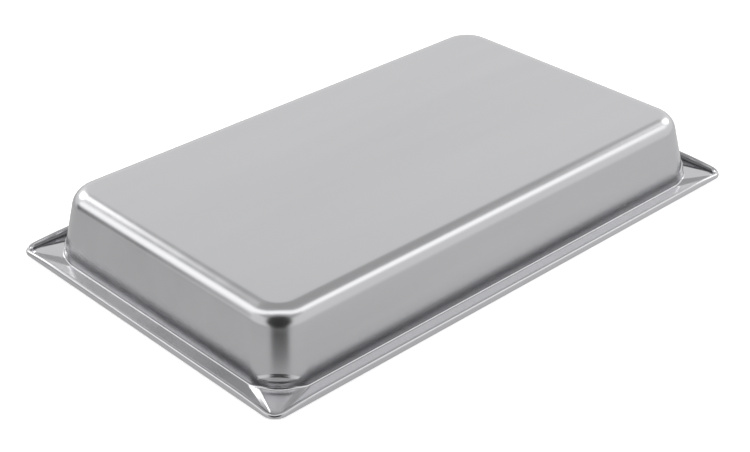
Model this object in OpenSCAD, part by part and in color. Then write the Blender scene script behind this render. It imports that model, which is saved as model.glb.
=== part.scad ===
// Full-size deli food pan: one deep-drawn stainless sheet, shown standing on its rim.
// Origin: centre of the rim plane. +X along the long side, +Z towards the base.
// The open mouth faces -Z, so turning the pan 180 degrees about X puts it in use.

/* [Pan] */
// Overall length across the rim
rim_l = 527; // [500:1:560]
// Overall width across the rim
rim_w = 324; // [300:1:340]
// Height from the rim plane to the outer face of the base
pan_h = 61; // [50:1:80]
// Thickness of the sheet
sheet_t = 0.8; // [0.6:0.1:1]

/* [Walls and base] */
// Width of the flange, from the rim edge to the foot of a wall
flange_w = 16.9; // [16:0.1:20]
// Slope of the walls from the vertical, in degrees
wall_draft = 9.7; // [6:0.1:12]
// Plan radius of the upright corners
corner_r = 30; // [28:1:36]
// Outer radius between base and walls
base_r = 16; // [10:1:18]
// Radius between a wall and the flange
foot_r = 1.6; // [1:0.1:4]

/* [Rolled rim] */
// Plan radius of the rim's corners
rim_r = 12; // [11:0.5:16]
// Height of the turned-in edge along the sides
bead_h = 6.5; // [6:0.1:8]
// Height of the turned-in edge at the corner tips
bead_tip_h = 3.6; // [3.5:0.1:6]
// Length over which the edge sinks towards a corner tip
bead_run = 50; // [30:1:60]
// Outer radius of the roll
bead_r = 2; // [1.6:0.1:2.2]
// Outer radius of the bend between flange and edge
bend_r = 1.5; // [1.2:0.1:2]

/* [Corner pouring ramps] */
// Rise of the ramp over the flange where it meets the wall
ramp_wall_rise = 2.0; // [0:0.1:3]
// Rise of the ramp over the flange near the rim
ramp_tip_rise = 0.7; // [0:0.1:1.5]
// Half angle of the ramp's mouth at the wall, as a part of the corner's half turn
ramp_mouth = 0.55; // [0.4:0.05:0.7]

/* [Stacking lugs] */
// Height of each lug's lower edge above the rim plane
lug_z = 8.6; // [8:0.1:12]
// Height of the lug along the wall
lug_tall = 5.2; // [4:0.1:7]
// How far the lug stands out of the wall
lug_out = 0.9; // [0:0.1:2]
// Half length of the lug, as a part of the corner's half turn
lug_half = 0.64; // [0.5:0.02:0.9]
// Height over which the wall swells to the lug
lug_edge = 1.5; // [1:0.1:2]

/* [Hidden] */

// Straight length that counts as one unit beyond the end of a corner's arc
RUN = 20;
// Inset of the last flange line that the ramp shapes, and of the flat strip behind the roll
RAMP_END = 6.5;
STRIP_END = bead_r * 2 + 0.6;
// Distance from the rim's planes to the centres of the wall's and the rim's corner arcs
wall_c = flange_w + corner_r;
rim_c = rim_r;
steel = [0.74, 0.74, 0.75];

// Inset of the wall line at a height
function wall_inset(z) = flange_w + z * tan(wall_draft);
function smooth(x) = let (c = max(0, min(1, x))) c * c * (3 - 2 * c);
function mix(a, b, f) = a + (b - a) * f;

// A ray runs from the wall to the rim. It holds where it starts on the wall's corner,
// where it ends on the rim's corner and how much of the ramp it carries.
// 0 is the corner's diagonal, 1 the end of the arc, and past 1 it counts straight units.
rim_edge_v = 0.75;
rim_foot_v = 1.4;
end_v = 2;
rim_end_v = 1 + (wall_c + (end_v - 1) * RUN - rim_c) / RUN;
half_rays = concat(
    [for (k = [0 : 5]) [ramp_mouth * k / 5, rim_edge_v * k / 5, 1]],
    [for (k = [1 : 3]) [mix(ramp_mouth, 1, k / 3), mix(rim_edge_v, rim_foot_v, k / 3), 1 - k / 3]],
    [[1.35, 2.2, 0], [end_v, rim_end_v, 0]]
);
half_n = len(half_rays);
// One corner, from the end on the short side (negative) to the end on the long side
corner_rays = concat(
    [for (k = [half_n - 1 : -1 : 1]) [-half_rays[k][0], -half_rays[k][1], half_rays[k][2]]],
    half_rays
);
ray_n = len(corner_rays);
// The four corners, counter-clockwise from above, starting at -X -Y
CORNERS = [[-1, -1], [1, -1], [1, 1], [-1, 1]];
stations = [for (k = [0 : 3]) for (r = [0 : ray_n - 1])
    concat([k], corner_rays[k % 2 == 0 ? r : ray_n - 1 - r])];
st_n = len(stations);

// Corner-local point: distances from the short-side plane and from the long-side plane
function local_point(inset, centre, v) = let (r = centre - inset, u = abs(v))
    u <= 1
        ? [centre - r * cos(45 * (1 + v)), centre - r * sin(45 * (1 + v))]
        : v > 0
            ? [centre + (u - 1) * RUN, inset]
            : [inset, centre + (u - 1) * RUN];
function place(k, p, z) = [
    CORNERS[k][0] * (rim_l / 2 - p[0]),
    CORNERS[k][1] * (rim_w / 2 - p[1]),
    z
];

// A section point: [kind, inset, z, normal inwards, normal up, flange share]
// kind 0 follows the wall's corner, 1 lies on the flange between both, 2 follows the rim's
base_a = [for (k = [0 : 7]) (90 - wall_draft) * k / 7];
base_zc = pan_h - base_r;
base_ic = wall_inset(base_zc) + base_r / cos(wall_draft);
function base_section() = [for (a = base_a)
    [0, base_ic - base_r * sin(a), base_zc + base_r * cos(a), -sin(a), cos(a), 0]];

// Heights of the wall lines between the base's edge and the fillet at the foot
lug_top = lug_z + lug_tall;
half_edge = lug_edge / 2;
wall_zs = [lug_top + half_edge, lug_top, lug_top - half_edge,
    mix(lug_z, lug_top, 0.45), lug_z + half_edge, lug_z, lug_z - half_edge];
function wall_section() = [for (z = wall_zs)
    [0, wall_inset(z), z, -cos(wall_draft), sin(wall_draft), 0]];

// The fillet sits higher where the ramp meets the wall
function foot_section(rise) = let (
        zc = sheet_t + rise + foot_r,
        ic = wall_inset(zc) - foot_r / cos(wall_draft)
    ) [for (k = [0 : 4]) let (a = (90 - wall_draft) * (1 - k / 4))
        [0, ic + foot_r * sin(a), zc - foot_r * cos(a), -sin(a), cos(a), 0]];
function flange_section(rise_wall, rise_tip) = [for (k = [1 : 4])
    [1, RAMP_END, sheet_t + mix(rise_wall, rise_tip, k / 4), 0, 1, k / 4]];

// The roll closes down to just above the flange
ROLL_GAP = 0.3;
function tail(h) = max(0.3, h - bead_r - sheet_t - ROLL_GAP);
function rim_section(h) = concat(
    [[2, STRIP_END, sheet_t, 0, 1, 0]],
    [for (a = [0, 45, 90])
        [2, bend_r - (bend_r - sheet_t) * sin(a), bend_r - (bend_r - sheet_t) * cos(a),
         sin(a), cos(a), 0]],
    [for (a = [90 : 30 : 270])
        [2, bead_r - (bead_r - sheet_t) * sin(a), h - bead_r - (bead_r - sheet_t) * cos(a),
         sin(a), cos(a), 0]],
    [[2, 2 * bead_r - sheet_t, h - bead_r - tail(h), -1, 0, 0]]
);

// The rim's turned edge is lower at the corner tips
function rim_run(v) = let (u = abs(v)) min(u, 1) * rim_r * PI / 4 + max(0, u - 1) * RUN;
function edge_h(v) = let (s = min(1, rim_run(v) / bead_run))
    mix(bead_tip_h, bead_h, 1 - (1 - s) * (1 - s));

// The lug swells out of the wall's corner: level below, lower towards its ends above
LUG_FALL = 0.72;
function lug(v, z) = let (
        across = v / lug_half,
        top = lug_z + lug_tall * (1 - LUG_FALL * across * across),
        along = smooth((1.06 - abs(across)) / 0.1)
    ) lug_out * along * smooth((z - lug_z) / lug_edge + 0.5) * smooth((top - z) / lug_edge + 0.5);

// One station's section, from the base's edge to the end of the roll
function section(st) = concat(
    base_section(),
    wall_section(),
    foot_section(st[3] * ramp_wall_rise),
    flange_section(st[3] * ramp_wall_rise, st[3] * ramp_tip_rise),
    rim_section(edge_h(st[2]))
);

// A section point on the skin that is t below the outer one
function skin_point(st, sec, foot, t) = let (
        inset = sec[1] - t * sec[3],
        z = sec[2] - t * sec[4],
        out = sec[0] == 0 ? lug(st[1], sec[2]) : 0,
        // Above the wall the arc keeps the centre of its tangent line
        centre = sec[0] == 0
            ? corner_r + wall_inset(max(sheet_t, min(sec[2], base_zc + base_r * sin(wall_draft))))
            : rim_c
    ) sec[0] == 1
        ? let (
            a = local_point(foot, wall_c, st[1]),
            b = local_point(RAMP_END, rim_c, st[2])
        ) place(st[0], mix(a, b, sec[5]), z)
        : place(st[0], local_point(inset - out, centre, sec[0] == 0 ? st[1] : st[2]), z);

function skin(t) = [for (st = stations) let (secs = section(st), foot = foot_inset(st))
    for (sec = secs) skin_point(st, sec, foot, t)];
// Inset at which the flange starts, which follows the fillet's own height
function foot_inset(st) = let (zc = sheet_t + st[3] * ramp_wall_rise + foot_r)
    wall_inset(zc) - foot_r / cos(wall_draft);

sec_n = len(section(stations[0]));
function id(layer, i, j) = layer * st_n * sec_n + (i % st_n) * sec_n + j;
// The middles of both faces of the base come after the two skins
mid_id = 2 * st_n * sec_n;
function strip(layer, i, j) = let (
        a = id(layer, i, j),
        b = id(layer, i + 1, j),
        c = id(layer, i + 1, j + 1),
        d = id(layer, i, j + 1)
    ) layer == 0 ? [[a, b, c], [a, c, d]] : [[a, c, b], [a, d, c]];
function raw_edge(i) = let (
        a = id(0, i, sec_n - 1),
        b = id(0, i + 1, sec_n - 1),
        c = id(1, i + 1, sec_n - 1),
        d = id(1, i, sec_n - 1)
    ) [[a, b, c], [a, c, d]];

// The pressed pan: outer skin, inner skin and the sheet's cut edge in the roll
module pan_shell() {
    color(steel) polyhedron(
        points = concat(skin(0), skin(sheet_t), [[0, 0, pan_h], [0, 0, pan_h - sheet_t]]),
        faces = concat(
            [for (layer = [0, 1], i = [0 : st_n - 1], j = [0 : sec_n - 2], f = strip(layer, i, j)) f],
            [for (i = [0 : st_n - 1], f = raw_edge(i)) f],
            [for (i = [0 : st_n - 1]) [id(0, i + 1, 0), id(0, i, 0), mid_id]],
            [for (i = [0 : st_n - 1]) [id(1, i, 0), id(1, i + 1, 0), mid_id + 1]]
        ),
        convexity = 8
    );
}

pan_shell();
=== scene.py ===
# %% [markdown]
# # A deep-drawn food pan, upturned on a white table
#
# The object is a full-size deli food pan. A press draws one blank of thin stainless sheet
# into a base, four sloping walls and a flat flange, and then rolls the flange's edge.
# Here it stands on its rim with the base up, so the flange, the roll, the pouring ramps
# and the stacking lugs are all seen from the side that normally hangs in the well.
#
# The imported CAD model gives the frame: its size, its place and its single node.

# %% load the frame
import math
import bpy
from mathutils import Matrix, Vector


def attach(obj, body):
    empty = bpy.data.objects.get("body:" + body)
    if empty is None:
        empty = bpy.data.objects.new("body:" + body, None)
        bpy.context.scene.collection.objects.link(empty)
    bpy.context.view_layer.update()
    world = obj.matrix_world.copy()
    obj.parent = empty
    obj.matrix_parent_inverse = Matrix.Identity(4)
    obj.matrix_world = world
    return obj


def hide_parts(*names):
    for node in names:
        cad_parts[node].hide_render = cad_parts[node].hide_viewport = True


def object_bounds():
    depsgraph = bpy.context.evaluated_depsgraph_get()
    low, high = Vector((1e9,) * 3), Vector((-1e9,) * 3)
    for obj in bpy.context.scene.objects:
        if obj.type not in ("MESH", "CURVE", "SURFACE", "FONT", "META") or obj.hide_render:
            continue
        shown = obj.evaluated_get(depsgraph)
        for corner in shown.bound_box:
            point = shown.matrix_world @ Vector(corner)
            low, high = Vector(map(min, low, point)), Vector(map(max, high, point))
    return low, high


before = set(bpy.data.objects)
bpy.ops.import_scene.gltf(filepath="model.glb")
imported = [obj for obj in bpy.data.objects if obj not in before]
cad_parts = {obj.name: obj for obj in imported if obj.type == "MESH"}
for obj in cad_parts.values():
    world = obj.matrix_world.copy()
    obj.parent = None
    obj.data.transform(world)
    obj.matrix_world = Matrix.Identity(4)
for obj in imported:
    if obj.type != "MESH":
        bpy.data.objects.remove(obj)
cad_low, cad_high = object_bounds()
MM = 0.001


# %% [markdown]
# ## Two small helpers
#
# Blender's sockets take linear light, while a colour is easiest to read as the hex value a
# paint program shows. One function turns one into the other. A second helper adds a node,
# sets its values and links its inputs, so that a material reads as a list of steps.

# %% colour and node helpers
def linear(code, alpha=1.0):
    """Linear RGBA for a colour written as sRGB hex, such as "c8c8ca"."""
    parts = [int(code[k:k + 2], 16) / 255 for k in (0, 2, 4)]
    light = [p / 12.92 if p <= 0.04045 else ((p + 0.055) / 1.055) ** 2.4 for p in parts]
    return (*light, alpha)


def add_node(tree, kind, settings=(), values=(), links=()):
    """Adds a node. Settings are attributes, values and links go by input name or number."""
    node = tree.nodes.new(kind)
    for name, value in dict(settings).items():
        setattr(node, name, value)
    for name, value in dict(values).items():
        node.inputs[name].default_value = value
    for name, socket in dict(links).items():
        tree.links.new(socket, node.inputs[name])
    return node


# %% [markdown]
# ## The pan's driving sizes
#
# A press tool is defined by few numbers: the outline of the rim, the depth, the slope of
# the walls and a handful of radii. The outline and depth come from the frame, so the
# visible pan can't drift from the solid one. The rest are the same values in millimetres
# that the solid model is built from.

# %% driving sizes, in millimetres
SIZE = (cad_high - cad_low) / MM
RIM_L, RIM_W, PAN_H = SIZE.x, SIZE.y, SIZE.z
SHEET_T = 0.8
FLANGE_W = 16.9
WALL_DRAFT = math.radians(9.7)
CORNER_R = 30.0
BASE_R = 16.0
FOOT_R = 1.6
RIM_R = 12.0
BEAD_H = 6.5
BEAD_TIP_H = 3.6
BEAD_RUN = 50.0
BEAD_R = 2.0
BEND_R = 1.5
RAMP_WALL_RISE = 2.0
RAMP_TIP_RISE = 0.7
RAMP_MOUTH = 0.55
RAMP_END = 6.5
ROLL_GAP = 0.3
STRIP_END = 2 * BEAD_R + 0.6
LUG_LINES_TOP = 17
LUG_Z = 8.6
LUG_TALL = 5.2
LUG_OUT = 0.9
LUG_HALF = 0.64
LUG_EDGE = 1.5
LUG_FALL = 0.72
STRAIGHT_UNIT = 20.0


# %% [markdown]
# ## A surface made of rays and sections
#
# The pan could be a cube with bevels and a subdivision modifier, but its corners carry a
# tapering ramp whose edges run obliquely across the flange, and a bevel can't follow them.
# A loft can. A ray starts on the wall's rounded corner and ends on the rim's rounded
# corner, and the ramp's edges are themselves rays, so they stay crisp in the mesh.
# Around a corner, 0 is the diagonal, 1 the end of the arc, and past 1 it runs straight.

# %% rays across the flange
WALL_C = FLANGE_W + CORNER_R
RIM_EDGE_V = 0.75
RIM_FOOT_V = 1.4
END_V = 2.0
RIM_END_V = 1 + (WALL_C + (END_V - 1) * STRAIGHT_UNIT - RIM_R) / STRAIGHT_UNIT


def mix(a, b, f):
    return a + (b - a) * f


def smooth(x):
    c = max(0.0, min(1.0, x))
    return c * c * (3 - 2 * c)


def half_rays():
    """Rays from the diagonal outwards: (place at the wall, place at the rim, ramp share)."""
    flat = [(RAMP_MOUTH * k / 16, RIM_EDGE_V * k / 16, 1.0) for k in range(17)]
    bevel = [(mix(RAMP_MOUTH, 1, k / 10), mix(RIM_EDGE_V, RIM_FOOT_V, k / 10), 1 - k / 10)
             for k in range(1, 11)]
    beyond = [(mix(1, END_V, k / 6), mix(RIM_FOOT_V, RIM_END_V, k / 6), 0.0)
              for k in range(1, 7)]
    return flat + bevel + beyond


HALF = half_rays()
CORNER_RAYS = [(-w, -r, s) for w, r, s in HALF[:0:-1]] + HALF
CORNERS = [(-1, -1), (1, -1), (1, 1), (-1, 1)]
STATIONS = []
for number, corner in enumerate(CORNERS):
    order = CORNER_RAYS if number % 2 == 0 else CORNER_RAYS[::-1]
    STATIONS += [(corner, *ray) for ray in order]
print("stations round the pan:", len(STATIONS))


# %% [markdown]
# Each section point says which corner it follows (0 the wall's, 1 the flange between both,
# 2 the rim's), its inset from the rim's planes, its height, the sheet's normal as inset and
# height, and for the flange how far it is from wall to rim.
# The second skin is the first one moved along that normal by the sheet's thickness, which
# is what really happens in a press: the sheet keeps its thickness round every radius.

# %% one section through base, wall, flange and roll
def wall_inset(z):
    return FLANGE_W + z * math.tan(WALL_DRAFT)


def arc(centre_inset, centre_z, radius, start, stop, count, kind, side):
    """Section points on an arc. Side 1 bulges outwards, -1 is hollow."""
    points = []
    for k in range(count + 1):
        a = math.radians(mix(start, stop, k / count))
        points.append((kind, centre_inset + side * radius * -math.sin(a),
                       centre_z + side * radius * math.cos(a), -math.sin(a), math.cos(a), 0))
    return points


WALL_TURN = 90 - math.degrees(WALL_DRAFT)
BASE_ZC = PAN_H - BASE_R
BASE_IC = wall_inset(BASE_ZC) + BASE_R / math.cos(WALL_DRAFT)
WALL_TOP = BASE_ZC + BASE_R * math.sin(WALL_DRAFT)


def base_section():
    flat = [(0, BASE_IC + 2.0, PAN_H, 0.0, 1.0, 0)]
    return flat + arc(BASE_IC, BASE_ZC, BASE_R, 0, WALL_TURN, 28, 0, 1)


def wall_section(foot_top):
    """Straight wall down to the fillet, with close lines where the lug is."""
    heights = [mix(WALL_TOP, LUG_LINES_TOP, k / 8) for k in range(1, 9)]
    heights += [mix(LUG_LINES_TOP, foot_top + 0.4, k / 26) for k in range(1, 27)]
    return [(0, wall_inset(z), z, -math.cos(WALL_DRAFT), math.sin(WALL_DRAFT), 0)
            for z in heights]


def foot_centre(rise):
    z = SHEET_T + rise + FOOT_R
    return wall_inset(z) - FOOT_R / math.cos(WALL_DRAFT), z


def foot_section(rise):
    inset, z = foot_centre(rise)
    return arc(inset, z, FOOT_R, WALL_TURN, 0, 10, 0, -1)


def flange_section(rise_wall, rise_tip):
    return [(1, RAMP_END, SHEET_T + mix(rise_wall, rise_tip, f), 0.0, 1.0, f)
            for f in [0.03] + [k / 12 for k in range(1, 13)]]


def rim_section(h):
    """Strip behind the roll, the bend, the upright edge and the roll itself."""
    tail = max(0.3, h - BEAD_R - SHEET_T - ROLL_GAP)
    points = [(2, mix(RAMP_END, STRIP_END, f), SHEET_T, 0.0, 1.0, 0) for f in (0.5, 1)]
    turns = [(BEND_R, BEND_R, k * 15) for k in range(7)]
    turns += [(BEAD_R, h - BEAD_R, 90 + k * 10) for k in range(19)]
    for radius, centre_z, turn in turns:
        a = math.radians(turn)
        inner = radius - SHEET_T
        points.append((2, radius - inner * math.sin(a), centre_z - inner * math.cos(a),
                       math.sin(a), math.cos(a), 0))
    points.append((2, 2 * BEAD_R - SHEET_T, h - BEAD_R - tail, -1.0, 0.0, 0))
    return points


# %% [markdown]
# The turned edge is lower at the four corner tips, where the press gathers metal and the
# trimming die leaves less of it. A lug is a short bulge near the mouth of each wall
# corner: it keeps stacked pans from jamming, because the next pan stops on it.

# %% edge height, lugs and the placing of a section point
def edge_height(v):
    run = min(abs(v), 1) * RIM_R * math.pi / 4 + max(0, abs(v) - 1) * STRAIGHT_UNIT
    share = min(1.0, run / BEAD_RUN)
    return mix(BEAD_TIP_H, BEAD_H, 1 - (1 - share) ** 2)


def lug(v, z):
    """Bulge of the wall: level below, lower towards its ends above."""
    across = v / LUG_HALF
    top = LUG_Z + LUG_TALL * (1 - LUG_FALL * across * across)
    along = smooth((1.06 - abs(across)) / 0.1)
    below = smooth((z - LUG_Z) / LUG_EDGE + 0.5)
    above = smooth((top - z) / LUG_EDGE + 0.5)
    return LUG_OUT * along * below * above


def local_point(inset, centre, v):
    """Distances from the short side's plane and from the long side's plane."""
    r = centre - inset
    if abs(v) <= 1:
        a = math.pi / 4 * (1 + v)
        return centre - r * math.cos(a), centre - r * math.sin(a)
    straight = centre + (abs(v) - 1) * STRAIGHT_UNIT
    return (straight, inset) if v > 0 else (inset, straight)


def place(corner, point, z):
    return (corner[0] * (RIM_L / 2 - point[0]) * MM, corner[1] * (RIM_W / 2 - point[1]) * MM,
            z * MM)


def skin_point(station, sec, depth):
    corner, v_wall, v_rim, share = station
    kind, inset, z, n_in, n_up, f = sec
    low = z - depth * n_up
    if kind == 1:
        a = local_point(foot_centre(share * RAMP_WALL_RISE)[0], WALL_C, v_wall)
        b = local_point(RAMP_END, RIM_R, v_rim)
        return place(corner, (mix(a[0], b[0], f), mix(a[1], b[1], f)), low)
    if kind == 2:
        return place(corner, local_point(inset - depth * n_in, RIM_R, v_rim), low)
    centre = CORNER_R + wall_inset(max(SHEET_T, min(z, WALL_TOP)))
    out = lug(v_wall, z)
    return place(corner, local_point(inset - depth * n_in - out, centre, v_wall), low)


# %% build the pan's mesh
def polish(kind, share):
    """How far the press tool has burnished the sheet here, from 0 to 1."""
    if kind == 2:
        return 1.0
    return 0.8 * share if kind == 1 else 0.0


def pan_mesh():
    points = []
    shine = []
    for depth in (0.0, SHEET_T):
        for station in STATIONS:
            rise = station[3] * RAMP_WALL_RISE
            tip = station[3] * RAMP_TIP_RISE
            fillet = foot_section(rise)
            section = (base_section() + wall_section(fillet[0][2]) + fillet
                       + flange_section(rise, tip) + rim_section(edge_height(station[2])))
            points += [skin_point(station, sec, depth) for sec in section]
            shine += [polish(sec[0], 4 * station[3] * (1 - station[3])) for sec in section]
    rows = len(section)
    count = len(STATIONS)

    def number(layer, i, j):
        return (layer * count + i % count) * rows + j

    faces = []
    for i in range(count):
        for j in range(rows - 1):
            outer = [number(0, i, j), number(0, i, j + 1),
                     number(0, i + 1, j + 1), number(0, i + 1, j)]
            inner = [k + count * rows for k in outer]
            faces += [outer, inner[::-1]]
        faces.append([number(0, i, rows - 1), number(1, i, rows - 1),
                      number(1, i + 1, rows - 1), number(0, i + 1, rows - 1)])
    faces.append([number(0, i, 0) for i in range(count)])
    faces.append([number(1, i, 0) for i in reversed(range(count))])
    mesh = bpy.data.meshes.new("pressed_pan")
    mesh.from_pydata(points, [], faces)
    mesh.validate()
    mesh.attributes.new("burnish", "FLOAT", "POINT").data.foreach_set("value", shine)
    mesh.shade_smooth()
    return mesh


pan = bpy.data.objects.new("pressed_pan", pan_mesh())
bpy.context.collection.objects.link(pan)
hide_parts("pan_shell")
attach(pan, "root")
print("faces in the pan:", len(pan.data.polygons))


# %% [markdown]
# ## Satin stainless steel
#
# The sheet is stainless steel with a satin finish: a bare metal, so the surface is fully
# metallic and its look is nearly all reflection. A rolled sheet carries a very fine grain
# in its rolling direction, here along the pan. Two stretched noises give that grain: one a
# fraction of a millimetre wide for the sparkle, one some millimetres wide for the faint
# streaks in the reflections. The bent edges are burnished by the press tool, so the rim
# and its ramps are smoother than the base.

# %% satin stainless steel
def satin_stainless():
    material = bpy.data.materials.new("satin_stainless_steel")
    material.use_nodes = True
    tree = material.node_tree
    tree.nodes.clear()
    where = add_node(tree, "ShaderNodeTexCoord").outputs["Object"]
    grain_space = add_node(tree, "ShaderNodeMapping", values={"Scale": (60, 2400, 2400)},
                           links={"Vector": where})
    grain = add_node(tree, "ShaderNodeTexNoise",
                     values={"Scale": 1.0, "Detail": 3.0, "Roughness": 0.6},
                     links={"Vector": grain_space.outputs["Vector"]})
    streak_space = add_node(tree, "ShaderNodeMapping", values={"Scale": (2.5, 24, 24)},
                            links={"Vector": where})
    streaks = add_node(tree, "ShaderNodeTexNoise",
                       values={"Scale": 1.0, "Detail": 4.0, "Roughness": 0.55},
                       links={"Vector": streak_space.outputs["Vector"]})
    cloud = add_node(tree, "ShaderNodeTexNoise",
                     values={"Scale": 9.0, "Detail": 2.0, "Roughness": 0.5},
                     links={"Vector": where})
    shine = add_node(tree, "ShaderNodeAttribute", settings={"attribute_name": "burnish"})
    burnish = add_node(tree, "ShaderNodeMapRange",
                       values={"From Min": 0.0, "From Max": 1.0,
                               "To Min": 0.23, "To Max": 0.16},
                       links={"Value": shine.outputs["Fac"]})
    patch = add_node(tree, "ShaderNodeMapRange",
                     values={"From Min": 0.3, "From Max": 0.7,
                             "To Min": -0.03, "To Max": 0.03},
                     links={"Value": streaks.outputs["Fac"]})
    rough = add_node(tree, "ShaderNodeMath", settings={"operation": "ADD"},
                     links={0: burnish.outputs["Result"], 1: patch.outputs["Result"]})
    tone = add_node(tree, "ShaderNodeValToRGB", links={"Fac": streaks.outputs["Fac"]})
    tone.color_ramp.elements[0].position = 0.3
    tone.color_ramp.elements[0].color = linear("c3c3c5")
    tone.color_ramp.elements[1].position = 0.7
    tone.color_ramp.elements[1].color = linear("c9c9cb")
    dents = add_node(tree, "ShaderNodeBump", values={"Strength": 0.05, "Distance": 0.0006},
                     links={"Height": cloud.outputs["Fac"]})
    bump = add_node(tree, "ShaderNodeBump", values={"Strength": 0.06, "Distance": 0.00004},
                    links={"Height": grain.outputs["Fac"], "Normal": dents.outputs["Normal"]})
    shader = add_node(tree, "ShaderNodeBsdfPrincipled", values={"Metallic": 1.0},
                      links={"Base Color": tone.outputs["Color"],
                             "Roughness": rough.outputs["Value"],
                             "Normal": bump.outputs["Normal"]})
    add_node(tree, "ShaderNodeOutputMaterial", links={"Surface": shader.outputs["BSDF"]})
    return material


pan.data.materials.append(satin_stainless())


# %% [markdown]
# ## Table and room
#
# The pan stands on a plain white table. Bare metal shows the room more than itself, so the
# room is laid out for the metal: a light wall all round, a dim ceiling, a row of lamps that
# draws the bright line along the base's edge, and a dark field where the camera is.
# The room is a painted sky: each field is a direction with a soft edge.
# The walls of the pan mirror the table, and a white one would wash them out. A grey card
# lies just above it. Only reflections see the card, so the table itself stays white.

# %% white table and its grey card
def level_sheet(name, size, height, material):
    """A square sheet. It reaches `size` from its middle to each side."""
    corners = [(-size, -size, 0), (size, -size, 0), (size, size, 0), (-size, size, 0)]
    mesh = bpy.data.meshes.new(name)
    mesh.from_pydata(corners, [], [(0, 1, 2, 3)])
    mesh.materials.append(material)
    sheet = bpy.data.objects.new(name, mesh)
    bpy.context.collection.objects.link(sheet)
    sheet.location.z = height
    return sheet


def white_laminate():
    material = bpy.data.materials.new("white_laminate")
    material.use_nodes = True
    shader = material.node_tree.nodes["Principled BSDF"]
    shader.inputs["Base Color"].default_value = linear("fafafa")
    shader.inputs["Roughness"].default_value = 0.6
    shader.inputs["Emission Color"].default_value = linear("ffffff")
    shader.inputs["Emission Strength"].default_value = 0.5
    return material


def grey_card():
    """Glows, a little brighter towards one diagonal side. In a wedge in front of the near
    corner it glows very little: painted shade, which the near corner's walls reflect as a dark
    streak.
    """
    material = bpy.data.materials.new("grey_card")
    material.use_nodes = True
    tree = material.node_tree
    tree.nodes.clear()
    where = add_node(tree, "ShaderNodeTexCoord").outputs["Object"]
    away = add_node(tree, "ShaderNodeVectorMath", settings={"operation": "SUBTRACT"},
                    values={1: (-0.22, -0.13, 0)}, links={0: where})
    far = add_node(tree, "ShaderNodeVectorMath", settings={"operation": "LENGTH"},
                   links={0: away.outputs["Vector"]})
    heading = add_node(tree, "ShaderNodeVectorMath", settings={"operation": "NORMALIZE"},
                       links={0: away.outputs["Vector"]})
    ahead = add_node(tree, "ShaderNodeVectorMath", settings={"operation": "DOT_PRODUCT"},
                     values={1: Vector((-0.68, -0.70, 0)).normalized()},
                     links={0: heading.outputs["Vector"]})
    # Painted shade: the card's glow drops in this wedge towards the camera side.
    wedge = add_node(tree, "ShaderNodeMapRange", settings={"interpolation_type": "SMOOTHSTEP"},
                     values={"From Min": 0.86, "From Max": 0.97, "To Min": 0.0, "To Max": 1.0},
                     links={"Value": ahead.outputs["Value"]})
    start = add_node(tree, "ShaderNodeMapRange", settings={"interpolation_type": "SMOOTHSTEP"},
                     values={"From Min": 0.08, "From Max": 0.30, "To Min": 0.0, "To Max": 1.0},
                     links={"Value": far.outputs["Value"]})
    shade = add_node(tree, "ShaderNodeMath", settings={"operation": "MULTIPLY"},
                     links={0: wedge.outputs["Result"], 1: start.outputs["Result"]})
    side = add_node(tree, "ShaderNodeVectorMath", settings={"operation": "DOT_PRODUCT"},
                    values={1: (0.71, -0.71, 0)}, links={0: where})
    slope = add_node(tree, "ShaderNodeMapRange",
                     values={"From Min": -0.4, "From Max": 0.3, "To Min": 0.60, "To Max": 0.75},
                     links={"Value": side.outputs["Value"]})
    glow = add_node(tree, "ShaderNodeMix", settings={"data_type": "FLOAT"},
                    links={"Factor": shade.outputs["Value"], "A": slope.outputs["Result"]})
    glow.inputs["B"].default_value = 0.07
    lamp = add_node(tree, "ShaderNodeEmission", links={"Strength": glow.outputs["Result"]})
    add_node(tree, "ShaderNodeOutputMaterial", links={"Surface": lamp.outputs["Emission"]})
    return material


TABLE_REACH = 6.0
table = level_sheet("white_table", TABLE_REACH, -0.0002, white_laminate())
table.visible_glossy = False
card = level_sheet("grey_card", TABLE_REACH, -0.0001, grey_card())
card.visible_camera = False
card.visible_diffuse = False
card.visible_shadow = False
card.visible_transmission = False


# %% studio room
def field(tree, direction, below, towards, edge, soft, level):
    """Lays a round field of light over what is below. Edge and soft are in degrees."""
    aim = Vector(towards).normalized()
    dot = add_node(tree, "ShaderNodeVectorMath", settings={"operation": "DOT_PRODUCT"},
                   values={1: aim}, links={0: direction})
    inside = add_node(tree, "ShaderNodeMapRange",
                      settings={"interpolation_type": "SMOOTHSTEP"},
                      values={"From Min": math.cos(math.radians(edge + soft)),
                              "From Max": math.cos(math.radians(edge - soft)),
                              "To Min": 0.0, "To Max": 1.0},
                      links={"Value": dot.outputs["Value"]})
    over = add_node(tree, "ShaderNodeMix", settings={"data_type": "FLOAT"},
                    links={"Factor": inside.outputs["Result"], "A": below})
    over.inputs["B"].default_value = level
    return over.outputs["Result"]


LAMP_EDGE = 9
LAMP_SOFT = 4
LAMP_LEVEL = 2.2
# A row of lamps overhead, from behind on the left, over the near corner, to the right
LAMP_ROW = [(-0.52, 0.76, 0.39), (-0.50, 0.66, 0.56), (-0.55, 0.45, 0.70), (-0.52, 0.25, 0.81),
            (-0.38, 0.05, 0.92), (-0.20, -0.08, 0.97), (-0.05, -0.25, 0.96),
            (0.10, -0.42, 0.90), (0.31, -0.47, 0.82), (0.54, -0.44, 0.72), (0.67, -0.39, 0.64)]


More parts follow.
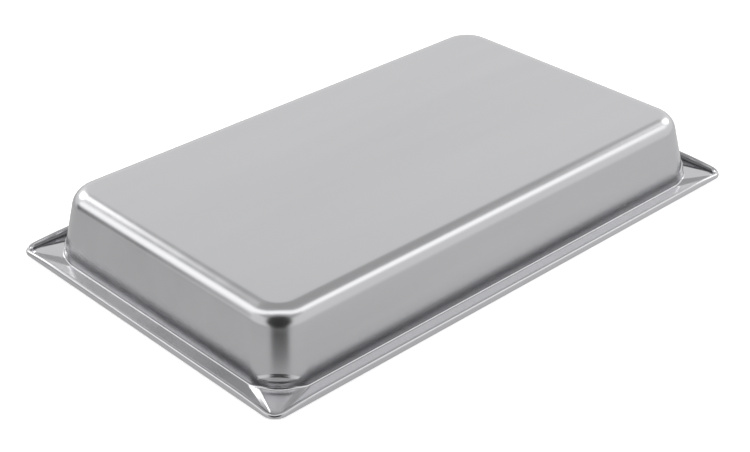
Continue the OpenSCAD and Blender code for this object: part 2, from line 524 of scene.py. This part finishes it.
def studio_room():
    world = bpy.data.worlds.new("studio_room")
    bpy.context.scene.world = world
    world.use_nodes = True
    tree = world.node_tree
    tree.nodes.clear()
    direction = add_node(tree, "ShaderNodeTexCoord").outputs["Generated"]
    up = add_node(tree, "ShaderNodeSeparateXYZ", links={"Vector": direction})
    wall = add_node(tree, "ShaderNodeMapRange",
                    settings={"interpolation_type": "SMOOTHSTEP"},
                    values={"From Min": 0.58, "From Max": 0.66, "To Min": 1.19, "To Max": 0.62},
                    links={"Value": up.outputs["Z"]})
    light = wall.outputs["Result"]
    for aim in LAMP_ROW:
        light = field(tree, direction, light, aim, LAMP_EDGE, LAMP_SOFT, LAMP_LEVEL)
    light = field(tree, direction, light, (-0.58, 0.80, 0.14), 9, 4, 0.10)
    light = field(tree, direction, light, (-0.62, -0.63, 0.42), 33, 4, 0.05)
    light = field(tree, direction, light, (0.86, 0.00, 0.50), 9, 4, 5.0)
    light = field(tree, direction, light, (0.00, 0.86, 0.50), 11, 4, 5.0)
    background = add_node(tree, "ShaderNodeBackground", links={"Strength": light})
    add_node(tree, "ShaderNodeOutputWorld", links={"Surface": background.outputs["Background"]})


studio_room()


# %% [markdown]
# ## Camera
#
# A moderately long lens looks at the near left corner from about 31 degrees above the
# table, so both the long side and the short side are seen with little convergence.

# %% camera
def look_from(azimuth, elevation, roll, distance, target):
    a, e, r = (math.radians(x) for x in (azimuth, elevation, roll))
    back = Vector((math.sin(a) * math.cos(e), -math.cos(a) * math.cos(e), math.sin(e)))
    right = Vector((math.cos(a), math.sin(a), 0))
    up = back.cross(right)
    tilted_right = right * math.cos(r) + up * math.sin(r)
    tilted_up = up * math.cos(r) - right * math.sin(r)
    turn = Matrix((tilted_right, tilted_up, back)).transposed()
    return Matrix.Translation(Vector(target) + back * distance) @ turn.to_4x4()


VIEW_AZIMUTH = -44.306
VIEW_ELEVATION = 30.690
VIEW_ROLL = 0.204
VIEW_DISTANCE = 1.126574
VIEW_TARGET = (-0.147648, -0.178853, 0.115329)


def make_camera():
    data = bpy.data.cameras.new("camera")
    data.sensor_width = 36.0
    data.lens = 77.06
    data.shift_x = -0.0460
    data.shift_y = 0.0101
    data.clip_start = 0.05
    data.clip_end = 50.0
    camera = bpy.data.objects.new("camera", data)
    bpy.context.collection.objects.link(camera)
    camera.matrix_world = look_from(VIEW_AZIMUTH, VIEW_ELEVATION, VIEW_ROLL, VIEW_DISTANCE,
                                    VIEW_TARGET)
    bpy.context.scene.camera = camera


make_camera()
bpy.context.scene.view_settings.view_transform = "Standard"
